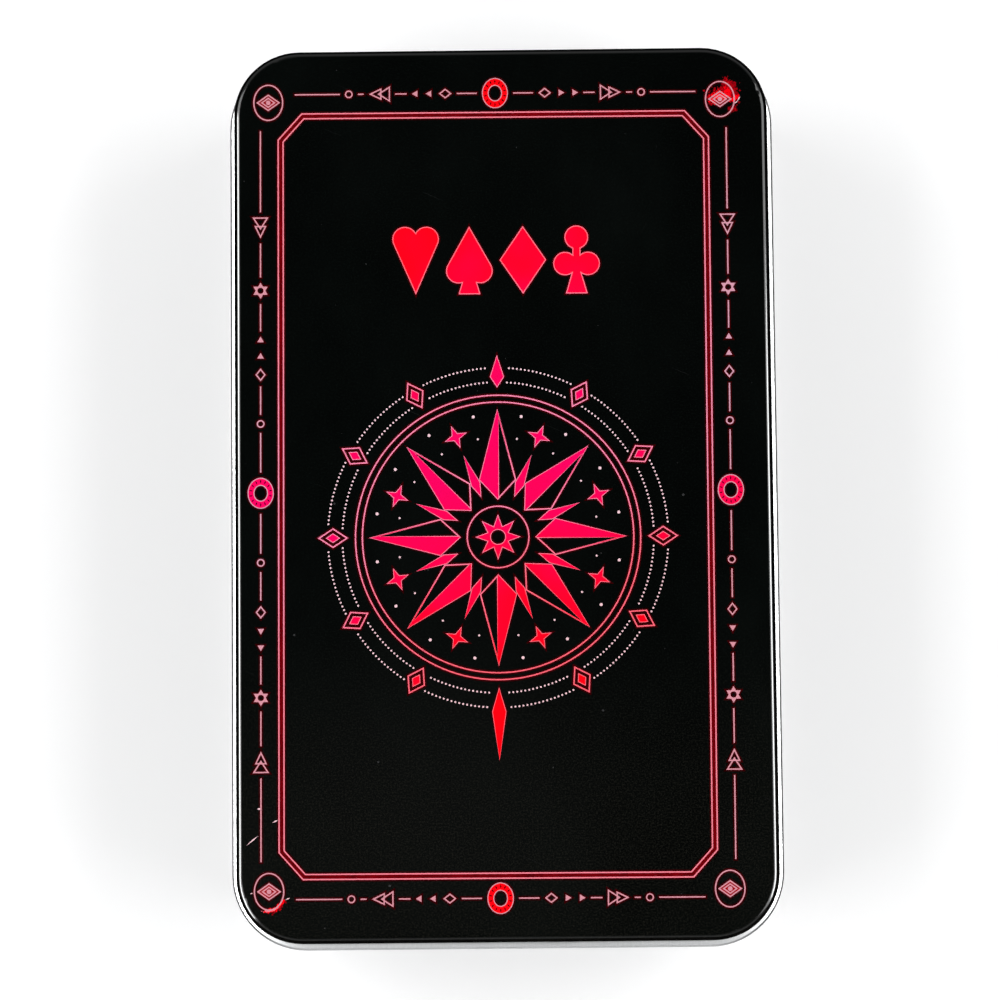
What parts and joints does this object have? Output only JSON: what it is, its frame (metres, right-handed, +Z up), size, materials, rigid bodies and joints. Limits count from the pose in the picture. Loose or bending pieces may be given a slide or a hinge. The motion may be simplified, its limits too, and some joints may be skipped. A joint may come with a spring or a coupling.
{
  "type": "card tin",
  "caption": "Flat rectangular tinplate card tin with a drawn hinged lid, rolled edges, a double-seamed bottom and a foil-stamped frame and emblem on black.",
  "frame": {"origin": "middle of the tin's footprint, on the ground under the bottom seam", "axes": "+X to the right, +Y along the tin's length towards the hinge, +Z up through the lid"},
  "size_m": [0.0808, 0.1326, 0.034],
  "materials": {
    "lid_lacquer": "black gloss lacquer outside, bare tinplate on the roll and inside",
    "base_lacquer": "black satin lacquer outside, bare tinplate on the rim and inside",
    "tinplate": "bright rolled tinplate",
    "strap_steel": "bare pressed steel",
    "wire_steel": "bright drawn wire",
    "red_foil": "hot-stamped metallic foil, from pink through crimson to red"
  },
  "bodies": {
    "base": {"base_wall": "base_lacquer", "bottom_plate": "tinplate", "hinge_strap_left": "strap_steel", "hinge_strap_right": "strap_steel"},
    "lid": {"lid_shell": "lid_lacquer", "hinge_wire": "wire_steel", "foil_frame": "red_foil", "foil_border": "red_foil", "foil_corner_medallions": "red_foil", "foil_side_medallions": "red_foil", "foil_suits": "red_foil", "foil_emblem": "red_foil"}
  },
  "joints": [
    {"name": "lid_hinge", "type": "hinge", "parent": "base", "child": "lid", "pos_m": [0, 0.06545, 0.0238], "axis": [-1, 0, 0], "range_deg": [0, 180]}
  ]
}
